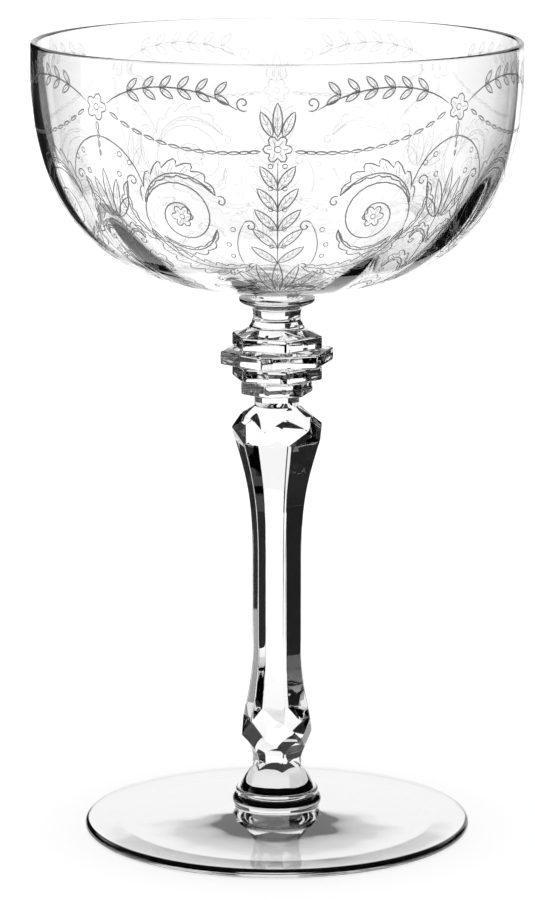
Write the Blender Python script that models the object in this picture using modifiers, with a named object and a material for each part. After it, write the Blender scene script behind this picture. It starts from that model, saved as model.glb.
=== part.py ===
"""Sherbet glass: a wide blown bowl on a pressed six-sided stem, standing on a cast round foot.

The glass stands on z = 0 with its axis on +Z. Lengths are metres.
"""

import math

import bmesh
import bpy

# Foot: a cast disc that rises towards a rounded boss, hollowed a little underneath
FOOT_RADIUS = 0.0369
FOOT_EDGE = 0.0017
FOOT_RISE = 0.0038
FOOT_RING_WIDTH = 0.0060
FOOT_HOLLOW = 0.0007
HOLLOW_FULLNESS = 2 / 3
BOSS_RADIUS = 0.0085
BOSS_ROOT_RADIUS = 0.0081
BOSS_HEIGHT = 0.0029
BOSS_UNDERCUT = math.radians(36)

# Foot collar: a dome with a thin flange, pressed on to the boss
FLANGE_RADIUS = 0.0079
FLANGE_THICKNESS = 0.0005
DOME_RADIUS = 0.0071
DOME_HEIGHT = 0.0050
DOME_CROWN_RADIUS = 0.0037
DOME_FULLNESS = 0.0004

# Stem: a six-sided baluster, sized by the distance from its axis to its corners, but at the widest level
# of each bulge to the middles of its sides. There a flat lozenge cuts each corner, from its tip on the
# taper, at the cut radius, past the widest level
STEM_SEAT_DEPTH = 0.0014
STEM_BASE_RADIUS = 0.0049
STEM_BASE_LENGTH = 0.0021
LOWER_BULGE_RADIUS = 0.0069
LOWER_BULGE_RISE = 0.0049
LOWER_CUT_RADIUS = 0.0067
LOWER_CUT_HEIGHT = 0.0035
LOWER_TAPER = 0.0148
LOWER_TAPER_FULLNESS = 0.0058
SHANK_RADIUS = 0.0049
SHANK_LENGTH = 0.0158
UPPER_TAPER = 0.0234
UPPER_TAPER_FULLNESS = 0.0061
UPPER_CUT_RADIUS = 0.0085
UPPER_CUT_HEIGHT = 0.0028
UPPER_BULGE_RADIUS = 0.0088
SHOULDER_HEIGHT = 0.0038
NECK_RADIUS = 0.0043
STEM_NECK_LENGTH = 0.0008
CORNER_TURN = math.radians(-16.8)

# Knop: four six-sided tiers, each turned half a side from the next, listed from the bottom
KNOP_NECK_LENGTH = 0.0008
TIER_RADII = (0.0070, 0.0089, 0.0110, 0.0089)
TIER_HEIGHT = 0.00255
TIER_STEP = 0.0004
TIER_CHAMFER = 0.0002
KNOP_SLOPE = 0.0012

# Bowl collar: a waisted post that carries a wafer and a small pad under the bowl
POST_FOOT_RADIUS = 0.0053
POST_WAIST_RADIUS = 0.0046
POST_TOP_RADIUS = 0.0047
POST_HEIGHT = 0.0031
WAFER_RADIUS = 0.0072
WAFER_DROP = 0.0020
WAFER_EDGE = 0.0003
PAD_RADIUS = 0.0046
PAD_HEIGHT = 0.0010

# Bowl: one free curve from the axis to the rim, with a wall that thins upwards
RIM_RADIUS = 0.0460
BOWL_DEPTH = 0.0472
BOWL_BASE_REACH = 0.0340
BOWL_BELLY_RADIUS = 0.0471
BOWL_BELLY_HEIGHT = 0.0151
RIM_WALL = 0.0012
BASE_WALL = 0.0022

# Clearance between pieces that are fused on the real glass
JOINT_GAP = 0.0003

# Fineness of round forms, in steps
ROUND_STEPS = 60
SHORT_CURVE_STEPS = 4
CURVE_STEPS = 6
LONG_CURVE_STEPS = 8
BOWL_STEPS = 14
SMOOTH_ANGLE = math.radians(30)
MERGE_DISTANCE = 0.00001

# Clear glass
GLASS_COLOUR = (0.93, 0.95, 0.95, 1.0)
GLASS_ROUGHNESS = 0.02
GLASS_IOR = 1.52

RIGHT_ANGLE = math.pi / 2

# Six-sided sections: half the angle of a side, and the least angle between two of a section's points
SIDES = 6
HALF_SIDE = math.pi / SIDES
LEAST_ANGLE = math.radians(2)
UNCUT = math.inf


def boss_top():
    """Height of the top of the foot's boss."""
    return FOOT_RISE + BOSS_HEIGHT


def collar_levels():
    """Heights of the foot collar's underside, flange top and crown."""
    base = boss_top() + JOINT_GAP
    flange_top = base + FLANGE_THICKNESS
    return base, flange_top, flange_top + DOME_HEIGHT


def stem_levels():
    """Heights at which the stem changes shape, from its base up to its top."""
    runs = (STEM_BASE_LENGTH, LOWER_BULGE_RISE, LOWER_CUT_HEIGHT, LOWER_TAPER, SHANK_LENGTH,
            UPPER_TAPER, UPPER_CUT_HEIGHT, SHOULDER_HEIGHT, STEM_NECK_LENGTH)
    levels = [collar_levels()[2] - STEM_SEAT_DEPTH]
    for run in runs:
        levels.append(levels[-1] + run)
    return levels


def knop_levels():
    """Heights of the knop's underside, of its lowest tier and of its top."""
    base = stem_levels()[-1] + JOINT_GAP
    lowest_tier = base + KNOP_NECK_LENGTH + TIER_STEP
    tiers = len(TIER_RADII)
    top = lowest_tier + tiers * TIER_HEIGHT + (tiers - 1) * TIER_STEP + KNOP_SLOPE
    return base, lowest_tier, top


def bowl_collar_levels():
    """Heights of the bowl collar's underside, post top, wafer edge and pad."""
    base = knop_levels()[2] + JOINT_GAP
    post_top = base + POST_HEIGHT
    wafer_edge = post_top + WAFER_DROP
    return base, post_top, wafer_edge, wafer_edge + WAFER_EDGE + PAD_HEIGHT


def bowl_base():
    """Height of the bowl's outside on the axis."""
    return bowl_collar_levels()[3] + JOINT_GAP


def bezier(control, steps):
    """Points along a Bezier curve with any number of control points."""
    points = []
    for i in range(steps + 1):
        t = i / steps
        row = list(control)
        while len(row) > 1:
            row = [tuple(a + (b - a) * t for a, b in zip(p, q)) for p, q in zip(row, row[1:])]
        points.append(row[0])
    return points


def arc(centre, radius, start, end, steps):
    """Points along a circular arc in the profile plane, with angles from +X towards +Z."""
    points = []
    for i in range(steps + 1):
        angle = start + (end - start) * i / steps
        points.append((centre[0] + radius * math.cos(angle), centre[1] + radius * math.sin(angle)))
    return points


def clear_scene():
    for item in list(bpy.data.objects):
        bpy.data.objects.remove(item, do_unlink=True)


def new_collection(name):
    collection = bpy.data.collections.new(name)
    bpy.context.scene.collection.children.link(collection)
    return collection


def glass_material(name):
    material = bpy.data.materials.new(name)
    material.use_nodes = True
    shader = material.node_tree.nodes["Principled BSDF"]
    shader.inputs["Base Color"].default_value = GLASS_COLOUR
    shader.inputs["Roughness"].default_value = GLASS_ROUGHNESS
    shader.inputs["Metallic"].default_value = 0.0
    shader.inputs["Transmission Weight"].default_value = 1.0
    shader.inputs["IOR"].default_value = GLASS_IOR
    return material


def add_object(name, mesh, collection):
    piece = bpy.data.objects.new(name, mesh)
    collection.objects.link(piece)
    return piece


def finish_mesh(mesh, name):
    """Give a piece smooth curved sides, crisp corners and its own glass."""
    mesh.shade_smooth()
    mesh.set_sharp_from_angle(angle=SMOOTH_ANGLE)
    mesh.materials.append(glass_material(name + "_glass"))


def turned(name, profile, collection):
    """A turned solid: a profile in the XZ plane, from the axis round its outside and back."""
    mesh = bpy.data.meshes.new(name)
    rows = [(x, 0.0, z) for x, z in profile]
    edges = [(i, i + 1) for i in range(len(rows) - 1)]
    mesh.from_pydata(rows, edges, [])
    piece = add_object(name, mesh, collection)
    screw = piece.modifiers.new("turn", "SCREW")
    screw.axis = "Z"
    screw.angle = math.tau
    screw.steps = ROUND_STEPS
    screw.render_steps = ROUND_STEPS
    screw.use_merge_vertices = True
    screw.merge_threshold = MERGE_DISTANCE
    screw.use_smooth_shade = True
    mesh.materials.append(glass_material(name + "_glass"))
    return piece


def side_radius(angle, corner_radius, turn):
    """Radius of a regular six-sided outline in one direction."""
    from_middle = (angle - turn) % (2 * HALF_SIDE) - HALF_SIDE
    return corner_radius * math.cos(HALF_SIDE) / math.cos(from_middle)


def section_radius(angle, section):
    """Radius of a section: six-sided at roundness 0, a circle at roundness 1, its corners cut flat at the
    cut's distance from the axis."""
    corner_radius, turn, roundness, cut = section[1:]
    flat = side_radius(angle, corner_radius, turn)
    uncut = flat + (corner_radius - flat) * roundness
    return min(uncut, side_radius(angle, cut / math.cos(HALF_SIDE), turn + HALF_SIDE))


def section_angles(section):
    """Directions of a section's points, with the edges of the cut corners among them. They start from the
    stem's first corner in all sections, so that the skin doesn't twist."""
    corner_radius, cut = section[1], section[4]
    edge = HALF_SIDE / 2
    if cut < corner_radius:
        edge = math.atan((corner_radius / cut - 1) / math.tan(HALF_SIDE))
        edge = min(max(edge, LEAST_ANGLE), HALF_SIDE - LEAST_ANGLE)
    rising = (0.0, edge / 2, edge, (edge + HALF_SIDE) / 2, HALF_SIDE)
    falling = tuple(2 * HALF_SIDE - angle for angle in reversed(rising[1:-1]))
    return [CORNER_TURN + 2 * HALF_SIDE * side + angle for side in range(SIDES) for angle in rising + falling]


def lofted(name, sections, collection):
    """A solid skinned through level sections, listed from the bottom up."""
    mesh = bpy.data.meshes.new(name)
    form = bmesh.new()
    rings = []
    for section in sections:
        ring = []
        for angle in section_angles(section):
            radius = section_radius(angle, section)
            ring.append(form.verts.new((radius * math.cos(angle), radius * math.sin(angle), section[0])))
        rings.append(ring)
    form.faces.new(reversed(rings[0]))
    form.faces.new(rings[-1])
    for low, high in zip(rings, rings[1:]):
        for i in range(len(low)):
            j = (i + 1) % len(low)
            form.faces.new((low[i], low[j], high[j], high[i]))
    form.to_mesh(mesh)
    form.free()
    finish_mesh(mesh, name)
    return add_object(name, mesh, collection)


def make_foot(collection):
    """Disc with a rounded edge, a boss in the middle and a shallow hollow underneath."""
    half_edge = FOOT_EDGE / 2
    half_boss = BOSS_HEIGHT / 2
    boss_middle = (BOSS_RADIUS - half_boss, FOOT_RISE + half_boss)
    edge_middle = (FOOT_RADIUS - half_edge, half_edge)
    flank_end = (edge_middle[0], FOOT_EDGE)
    ring_inside = edge_middle[0] - FOOT_RING_WIDTH
    profile = [(0.0, boss_top())]
    profile += arc(boss_middle, half_boss, RIGHT_ANGLE, -BOSS_UNDERCUT, CURVE_STEPS)
    profile += bezier(((BOSS_ROOT_RADIUS, FOOT_RISE),
                       (BOSS_ROOT_RADIUS + FOOT_RISE, FOOT_RISE - half_edge / 2),
                       (FOOT_RADIUS - FOOT_RING_WIDTH, FOOT_EDGE), flank_end), LONG_CURVE_STEPS)
    profile += arc(edge_middle, half_edge, RIGHT_ANGLE, -RIGHT_ANGLE, CURVE_STEPS)[1:]
    profile += bezier(((ring_inside, 0.0), (ring_inside * HOLLOW_FULLNESS, FOOT_HOLLOW),
                       (0.0, FOOT_HOLLOW)), SHORT_CURVE_STEPS)
    return turned("foot", profile, collection)


def dome_profile(clearance):
    """The foot collar's domed side, from its crown down to the flange, moved out by a clearance."""
    flange_top, crown = collar_levels()[1:]
    middle = ((DOME_RADIUS + DOME_CROWN_RADIUS) / 2 + DOME_FULLNESS * 2,
              (flange_top + crown) / 2 + DOME_FULLNESS)
    curve = ((DOME_CROWN_RADIUS, crown), middle, (DOME_RADIUS, flange_top))
    return bezier([(x + clearance, z + clearance) for x, z in curve], CURVE_STEPS)


def make_foot_collar(collection):
    """Dome over a thin flange, with a flat underside on the boss."""
    base, flange_top, crown = collar_levels()
    profile = [(0.0, crown)] + dome_profile(0.0)
    profile += [(FLANGE_RADIUS - FLANGE_THICKNESS / 2, flange_top),
                (FLANGE_RADIUS, flange_top - FLANGE_THICKNESS / 2),
                (FLANGE_RADIUS - FLANGE_THICKNESS / 2, base),
                (0.0, base)]
    return turned("foot_collar", profile, collection)


def stem_outline():
    """Heights of the stem below its neck, each with the radius of the corners before they are cut."""
    base, pinch, low_wide, low_tip, shank, taper, high_tip, high_wide = stem_levels()[:8]
    low_corner = LOWER_BULGE_RADIUS / math.cos(HALF_SIDE)
    high_corner = UPPER_BULGE_RADIUS / math.cos(HALF_SIDE)
    outline = [(base, STEM_BASE_RADIUS)]
    outline += bezier(((pinch, STEM_BASE_RADIUS), ((pinch + low_wide) / 2, STEM_BASE_RADIUS),
                       (low_wide, low_corner)), LONG_CURVE_STEPS)
    outline += bezier(((low_wide, low_corner), (low_tip, LOWER_CUT_RADIUS)), SHORT_CURVE_STEPS)[1:]
    outline += bezier(((low_tip, LOWER_CUT_RADIUS), (low_tip + LOWER_TAPER / 3, LOWER_TAPER_FULLNESS),
                       (low_tip + LOWER_TAPER / 2, SHANK_RADIUS), (shank, SHANK_RADIUS)), CURVE_STEPS)[1:]
    outline += bezier(((taper, SHANK_RADIUS), (taper + UPPER_TAPER / 2, SHANK_RADIUS),
                       (high_tip - UPPER_TAPER / 3, UPPER_TAPER_FULLNESS),
                       (high_tip, UPPER_CUT_RADIUS)), CURVE_STEPS)
    return outline + bezier(((high_tip, UPPER_CUT_RADIUS), (high_wide, high_corner)), SHORT_CURVE_STEPS)[1:]


def stem_cut(height):
    """Distance from the axis of the lozenges that cut the stem's corners at a height."""
    pinch, low_wide, low_tip, shank, taper, high_tip, high_wide = stem_levels()[1:8]
    if pinch <= height <= low_tip:
        tip, tip_radius, wide, wide_radius = low_tip, LOWER_CUT_RADIUS, low_wide, LOWER_BULGE_RADIUS
    elif height >= high_tip:
        tip, tip_radius, wide, wide_radius = high_tip, UPPER_CUT_RADIUS, high_wide, UPPER_BULGE_RADIUS
    else:
        return UNCUT
    return tip_radius + (wide_radius * math.cos(HALF_SIDE) - tip_radius) * (height - tip) / (wide - tip)


def stem_sections():
    """Sections of the stem: base, lower bulge, shank, upper bulge, shoulder and round neck."""
    high_wide, neck, top = stem_levels()[7:]
    sections = [(height, radius, CORNER_TURN, 0.0, stem_cut(height)) for height, radius in stem_outline()]
    high_corner = sections[-1][1]
    for i in range(1, CURVE_STEPS + 1):
        share = i / CURVE_STEPS
        height = high_wide + (neck - high_wide) * share
        radius = high_corner + (NECK_RADIUS - high_corner) * share
        sections.append((height, radius, CORNER_TURN, share * share, stem_cut(height)))
    sections.append((top, NECK_RADIUS, CORNER_TURN, 1.0, UNCUT))
    return sections


def make_stem(collection, cutters):
    """Baluster whose lower end is cut to sit over the dome, which scallops its edge."""
    stem = lofted("stem", stem_sections(), collection)
    floor = stem_levels()[0] - DOME_HEIGHT
    side = dome_profile(JOINT_GAP)
    crown = [(0.0, side[0][1])]
    skirt = [(side[-1][0], floor), (0.0, floor)]
    cutter = turned("stem_seat_cutter", crown + side + skirt, cutters)
    cutter.hide_render = True
    cutter.display_type = "WIRE"
    seat = stem.modifiers.new("seat", "BOOLEAN")
    seat.operation = "DIFFERENCE"
    seat.object = cutter
    return stem


def knop_sections():
    """Sections of the knop: round neck, four chamfered tiers and a slope up to the bowl collar."""
    base, tier_base, top = knop_levels()
    sections = [(base, NECK_RADIUS, CORNER_TURN, 1.0, UNCUT),
                (base + KNOP_NECK_LENGTH, NECK_RADIUS, CORNER_TURN, 1.0, UNCUT)]
    for i, radius in enumerate(TIER_RADII):
        turn = CORNER_TURN + math.pi / SIDES * ((i + 1) % 2)
        low = tier_base + i * (TIER_HEIGHT + TIER_STEP)
        high = low + TIER_HEIGHT
        sections += [(low, radius - TIER_CHAMFER, turn, 0.0, UNCUT),
                     (low + TIER_CHAMFER, radius, turn, 0.0, UNCUT),
                     (high - TIER_CHAMFER, radius, turn, 0.0, UNCUT),
                     (high, radius - TIER_CHAMFER, turn, 0.0, UNCUT)]
    sections.append((top, POST_FOOT_RADIUS, CORNER_TURN, 1.0, UNCUT))
    return sections


def make_knop(collection):
    return lofted("knop", knop_sections(), collection)


def make_bowl_collar(collection):
    """Waisted post, a wafer that flares out of it and the pad that the bowl sits on."""
    base, post_top, wafer_edge, pad_top = bowl_collar_levels()
    pull = 2 * POST_WAIST_RADIUS - (POST_FOOT_RADIUS + POST_TOP_RADIUS) / 2
    post = bezier(((POST_FOOT_RADIUS, base), (pull, (base + post_top) / 2),
                   (POST_TOP_RADIUS, post_top)), CURVE_STEPS)
    middle = (post_top + wafer_edge) / 2
    wafer = bezier(((POST_TOP_RADIUS, post_top), (POST_TOP_RADIUS, middle), (WAFER_RADIUS, middle),
                    (WAFER_RADIUS, wafer_edge)), CURVE_STEPS)
    profile = [(0.0, pad_top), (PAD_RADIUS, pad_top), (PAD_RADIUS, wafer_edge + WAFER_EDGE * 2),
               (WAFER_RADIUS, wafer_edge + WAFER_EDGE)]
    profile += wafer[::-1] + post[::-1][1:] + [(0.0, base)]
    return turned("bowl_collar", profile, collection)


def bowl_curve():
    """Outside of the bowl from the axis to the rim."""
    base = bowl_base()
    return bezier(((0.0, base), (BOWL_BASE_REACH, base), (BOWL_BELLY_RADIUS, base + BOWL_BELLY_HEIGHT),
                   (RIM_RADIUS, base + BOWL_DEPTH - RIM_WALL / 2)), BOWL_STEPS)


def inner_curve(outside):
    """Inside of the bowl: the outside moved in by a wall that thins towards the rim."""
    inside = []
    last = len(outside) - 1
    for i, (x, z) in enumerate(outside):
        ahead = outside[min(i + 1, last)]
        behind = outside[max(i - 1, 0)]
        along = (ahead[0] - behind[0], ahead[1] - behind[1])
        length = math.hypot(along[0], along[1])
        wall = BASE_WALL + (RIM_WALL - BASE_WALL) * i / last
        inside.append((max(0.0, x - wall * along[1] / length), z + wall * along[0] / length))
    inside[0] = (0.0, outside[0][1] + BASE_WALL)
    return inside


def make_bowl(collection):
    """Open bowl with a fire-rounded rim."""
    outside = bowl_curve()
    inside = inner_curve(outside)
    rim_middle = ((outside[-1][0] + inside[-1][0]) / 2, outside[-1][1])
    rim = arc(rim_middle, RIM_WALL / 2, math.pi, 0.0, SHORT_CURVE_STEPS)
    return turned("bowl", inside[:-1] + rim + outside[:-1][::-1], collection)


def main():
    clear_scene()
    parts = new_collection("sherbet_glass")
    cutters = new_collection("cutters")
    make_foot(parts)
    make_foot_collar(parts)
    make_stem(parts, cutters)
    make_knop(parts)
    make_bowl_collar(parts)
    make_bowl(parts)


main()
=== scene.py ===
"""Looks of the sherbet glass: clear crystal with a frosted ornament, on a pale floor. Lengths are metres."""

import math
from collections import namedtuple

import bmesh
import bpy
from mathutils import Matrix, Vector


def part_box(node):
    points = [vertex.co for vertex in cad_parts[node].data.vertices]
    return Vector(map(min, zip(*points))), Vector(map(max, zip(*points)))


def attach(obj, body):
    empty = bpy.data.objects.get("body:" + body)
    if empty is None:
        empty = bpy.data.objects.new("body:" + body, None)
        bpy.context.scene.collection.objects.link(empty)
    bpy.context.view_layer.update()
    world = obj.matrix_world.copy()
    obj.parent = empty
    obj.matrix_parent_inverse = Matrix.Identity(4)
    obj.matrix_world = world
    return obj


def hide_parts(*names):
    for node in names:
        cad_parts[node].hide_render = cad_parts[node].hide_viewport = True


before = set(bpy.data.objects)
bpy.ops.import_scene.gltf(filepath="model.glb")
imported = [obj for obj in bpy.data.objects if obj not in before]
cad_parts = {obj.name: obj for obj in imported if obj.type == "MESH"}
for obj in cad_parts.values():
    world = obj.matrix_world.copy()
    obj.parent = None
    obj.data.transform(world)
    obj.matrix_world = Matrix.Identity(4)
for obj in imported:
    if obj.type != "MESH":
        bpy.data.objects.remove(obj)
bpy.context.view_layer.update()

# Camera, from the ellipses of the rim and the foot in the photograph
CAMERA_PLACE = (-0.0018, -0.7801, 0.2260)
CAMERA_PITCH = math.radians(11.062)
CAMERA_LENS = 167.6
CAMERA_SENSOR = 36.0

# Six-sided outlines: the first corner's turn from +X, the radius that softens each corner, and the most
# that this radius may be as a share of a side's distance from the axis
SIDES = 6
HALF_SIDE = math.pi / SIDES
CORNER_TURN = math.radians(-16.8)
CORNER_SOFTNESS = 0.00050
SOFTEST_SHARE = 0.2

# Lozenges cut on the stem's corners: a corner left whole, and how near to a corner or to the middle of a
# side the edge of a cut may come
UNCUT = math.inf
LEAST_EDGE = math.radians(0.8)

# Directions round six-sided pieces: degrees from a corner to a quarter of a side, and shares of the way
# from a corner to the edge of its cut and from there to the middle of the side
CORNER_STEPS = (0.0, 0.4, 0.8, 1.2, 1.8, 3.0, 5.5, 8.5, 11.5, 15.0)
CUT_SHARES = (0.0, 0.027, 0.053, 0.08, 0.12, 0.2, 0.45, 0.75, 0.955)
SIDE_SHARES = (0.0, 0.045, 0.12, 0.3, 0.5, 0.7, 0.88, 0.955, 0.985, 1.0)

# Faces that meet at more than this angle keep a crisp edge
SHARP_ANGLE = math.radians(28)

# Sizes of the foot, as in the solids
FOOT_RADIUS = 0.0369
FOOT_EDGE = 0.0017
FOOT_RISE = 0.0038
FOOT_RING_WIDTH = 0.0060
FOOT_HOLLOW = 0.0007
HOLLOW_FULLNESS = 2 / 3
BOSS_RADIUS = 0.0085
BOSS_ROOT_RADIUS = 0.0081
BOSS_UNDERCUT = 36
BOSS_JOINT_RADIUS = 0.0067
AXIS_HOLE = 0.0005

# Sizes of the foot's collar, as in the solids
FLANGE_RADIUS = 0.0079
FLANGE_THICKNESS = 0.0005
DOME_RADIUS = 0.0071
DOME_CROWN_RADIUS = 0.0037
DOME_FULLNESS = 0.0004

# Sizes of the stem, as in the solids
STEM_BASE_RADIUS = 0.0049
STEM_SEAT_DEPTH = 0.0014
STEM_BASE_LENGTH = 0.0021
LOWER_BULGE_RADIUS = 0.0069
LOWER_BULGE_RISE = 0.0049
LOWER_CUT_RADIUS = 0.0067
LOWER_CUT_HEIGHT = 0.0035
LOWER_TAPER = 0.0148
LOWER_TAPER_FULLNESS = 0.0058
SHANK_RADIUS = 0.0049
SHANK_LENGTH = 0.0158
UPPER_TAPER = 0.0234
UPPER_TAPER_FULLNESS = 0.0061
UPPER_CUT_RADIUS = 0.0085
UPPER_CUT_HEIGHT = 0.0028
UPPER_BULGE_RADIUS = 0.0088
NECK_RADIUS = 0.0043
STEM_NECK_LENGTH = 0.0008

# Sizes of the knop and of the bowl's collar, as in the solids
KNOP_NECK_LENGTH = 0.0008
TIER_RADII = (0.0070, 0.0089, 0.0110, 0.0089)
TIER_HEIGHT = 0.00255
TIER_STEP = 0.0004
TIER_EDGE = 0.00035
POST_FOOT_RADIUS = 0.0053
POST_WAIST_RADIUS = 0.0046
POST_TOP_RADIUS = 0.0047
POST_HEIGHT = 0.0031
WAFER_RADIUS = 0.0072
WAFER_DROP = 0.0020
WAFER_EDGE = 0.0003
PAD_RADIUS = 0.0046

# Sizes of the bowl, as in the solids, with its wall starting just outside the pad
RIM_RADIUS = 0.0460
BOWL_BASE_REACH = 0.0340
BOWL_BELLY_RADIUS = 0.0471
BOWL_BELLY_HEIGHT = 0.0151
RIM_WALL = 0.0012
BASE_WALL = 0.0022
WALL_START = PAD_RADIUS * 1.02

# Points along the curves, and directions round the turned pieces
HOLLOW_STEPS = 24
FOOT_EDGE_STEPS = 20
FLANK_STEPS = 48
BOSS_STEPS = 16
FOOT_TURNS = 192
FLANGE_STEPS = 8
DOME_STEPS = 64
DOME_RINGS = 28
PINCH_STEPS = 24
LOZENGE_STEPS = 16
LOWER_TAPER_STEPS = 32
UPPER_TAPER_STEPS = 40
SHOULDER_STEPS = 20
TIER_EDGE_STEPS = 5
COLLAR_STEPS = 24
COLLAR_TURNS = 144
BOWL_STEPS = 72
RIM_STEPS = 10
BOWL_TURNS = 288

# Panel optic: shallow flutes inside the bowl, strongest low on its side and fading to its base and rim
OPTIC_PANELS = 12
OPTIC_DEPTH = 0.0008
OPTIC_TURN = math.radians(6)
OPTIC_LOW = 0.42
OPTIC_SPREAD = 0.26
OPTIC_FADE = 12.0

# Glass: its waves are wide on the bowl and the foot, and close on the pressed pieces
GLASS_IOR = 1.52
WIDE_WAVE_SIZE = 0.012
WIDE_WAVE_DEPTH = 0.00006
CLOSE_WAVE_SIZE = 0.004
CLOSE_WAVE_DEPTH = 0.00003
WAVE_DETAIL = 1.0
WEAR_SIZE = 0.003
WEAR_DETAIL = 3.0
WEAR_ROUGHNESS = 0.04
WHITE = (1.0, 1.0, 1.0)

# Ornament, drawn in millimetres: x round the bowl at FLAT_RADIUS, y up its wall from the middle of its base.
# MAIN and FINE are widths of lines, and HALF is half of one repeat
MM = 0.001
REPEATS = 4
FIRST_AXIS = math.radians(-90)
FLAT_RADIUS = 45.0
HALF = math.pi * FLAT_RADIUS / REPEATS
MAIN = 0.27
FINE = 0.19
LINE_END = 0.45
LINE_SINK = 0.00001
LINE_RISE = 0.00002
WALL_STEPS = 240
PALMETTE_ROOT = 23.5

# Volutes: how far and how evenly they wind in, and degrees between points on small and on large ones
VOLUTE_FALL = 0.84
VOLUTE_EASE = 0.9
SMALL_VOLUTE = 3.0
SMALL_VOLUTE_STEP = 30
LARGE_VOLUTE_STEP = 16
LEAST_STEPS = 7
BEAD_STEPS = 7

# Leaves: points that pull their edges out, places of the veins and length of the midrib, as shares of the
# leaf's length and width
LEAF_STEPS = 6
LEAF_LOW_PULL = (0.30, 0.75)
LEAF_HIGH_PULL = (0.75, 0.55)
VEINS_START = 0.20
VEINS_RUN = 0.55
VEIN_LEAN = 0.13
VEIN_ROOT = 0.04
VEIN_TIP = 0.30
MIDRIB = 0.85

# Fronds: where their outline starts, how full it is, how deep its lobes are and how far they sweep forward.
# Veins start at two of the steps along each lobe, and each step has its own vein tip
LOBE_STEPS = 4
FROND_START = 0.08
FROND_FULLNESS = 0.8
LOBE_DEPTH = 0.50
LOBE_SWEEP = 0.55
LOBE_VEIN_ROOT = 0.1
LOBE_VEIN_TIPS = {1: 0.7, 2: 0.45}
LOBE_VEIN_SLANT = 0.8

# Rosettes: depth of the dips between petals, size of the eye, and the ends of each petal's vein
PETAL_STEPS = 4
PETAL_DIP = 0.38
ROSETTE_EYE = 0.24
PETAL_VEIN = (0.34, 0.75)
HUSK_STEPS = 4

# Frosting: matt, with a fine grain, and faint where its back is seen through the glass; its grey is painted
# shade, not the etching's own colour
FROST_PAINTED_SHADE_GREY = (0.42, 0.42, 0.42)
FROST_ALPHA = 0.9
FROST_BACK_ALPHA = 0.12
FROST_GRAIN = 0.0002
FROST_GRAIN_DEPTH = 0.00002
FROST_GRAIN_DETAIL = 2.0
FROST_ROUGHNESS = (0.55, 0.85)

# Stage: the floor lies a hair below the foot, so that air stays between them
FLOOR_SIZE = 12.0
FLOOR_GAP = 0.0002
FLOOR_FILL = 0.80
FILL_NEAR = 0.1
FILL_FAR = 0.7
FLOOR_COLOUR = (0.45, 0.45, 0.45)
SWEEP_TOP = 0.12
SWEEP_FADE = 0.20
SWEEP_BACK = 0.5
CEILING_LIGHT = 0.06
LAMP_SIZE = 1.2
LAMP_PLACE = (0.0, 0.0, 2.2)
LAMP_POWER = 22.0

# Light paths: crossings of glass, mirrorings in it, and crossings of clear faces
GLASS_BOUNCES = 20
MIRROR_BOUNCES = 3
CLEAR_BOUNCES = 24

# Dark cards round the glass, with lanes left open along the main views: hidden from the camera, from diffuse
# light and from shadows, they are painted dark reflections and refractions seen only in the glass. First and
# last are the directions of a card's edges in degrees from +X, and each margin is how far an edge keeps off
# its direction's line through the glass. Near and far are distances from the axis, and height is the far
# end's
Card = namedtuple("Card", "name first first_margin last last_margin near far height")
# Near-black colour of the cards: painted shade seen only in the glass's reflections and refractions
PAINTED_GLASS_SHADE_COLOUR = (0.03, 0.03, 0.03)
CARD_LIFT = -FLOOR_GAP / 2
CARD_ROWS = 8
CARD_STEPS = 12
CARD_FAR = 1.2
CARD_TALL = 0.5
LANE = 0.055
CARDS = (Card("card_back_right", -37, LANE, 60, 0.0, 0.067, CARD_FAR, CARD_TALL),
         Card("card_back_left_floor", 110, 0.0, 135, LANE, 0.135, 0.62, CARD_LIFT),
         Card("card_back_left_far", 103, 0.0, 172, LANE, 0.62, CARD_FAR, CARD_TALL),
         Card("card_back_left_end", 125, 0.0, 145, 0.0, 0.44, 0.62, CARD_LIFT),
         Card("card_left_back", 135, LANE, 172, LANE, 0.20, 0.62, CARD_LIFT),
         Card("card_front", 188, LANE, 307, LANE, 0.067, CARD_FAR, CARD_TALL),
         Card("card_front_right_end", 305, 0.0, 325, 0.0, 0.80, CARD_FAR, CARD_TALL),
         Card("card_stem", 129, 0.0, 143, 0.0, 0.038, 0.078, CARD_LIFT),
         Card("card_stem_upright", 125, 0.0, 136, 0.0, 0.077, 0.078, 0.058),
         Card("card_stem_left", 36, 0.0, 52, 0.0, 0.038, 0.070, CARD_LIFT),
         # Painted shade: a dark disc on the floor under the stem and boss, seen only through the foot
         Card("painted_shade_under_stem", 0, 0.0, 360, 0.0, 0.0002, 0.0075, CARD_LIFT))

# A level section of a piece: six-sided at roundness 0 and a circle at roundness 1
Section = namedtuple("Section", "height corner_radius turn roundness cut")

# Heights at which the stem changes shape
StemLevels = namedtuple("StemLevels", "pinch low_wide low_tip shank taper high_tip high_wide neck")


def joint_level(lower, upper):
    """Height at which two stacked pieces are fused: the middle of the gap between their solids."""
    return (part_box(lower)[1].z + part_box(upper)[0].z) / 2


def bezier(control, steps):
    """Points along a Bezier curve with any number of control points."""
    points = []
    for i in range(steps + 1):
        t = i / steps
        row = list(control)
        while len(row) > 1:
            row = [tuple(a + (b - a) * t for a, b in zip(p, q)) for p, q in zip(row, row[1:])]
        points.append(row[0])
    return points


def arc(centre, radius, start, end, steps):
    """Points along a circular arc in the profile plane, angles in degrees from +X towards +Z."""
    points = []
    for i in range(steps + 1):
        angle = math.radians(start + (end - start) * i / steps)
        points.append((centre[0] + radius * math.cos(angle), centre[1] + radius * math.sin(angle)))
    return points


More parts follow.
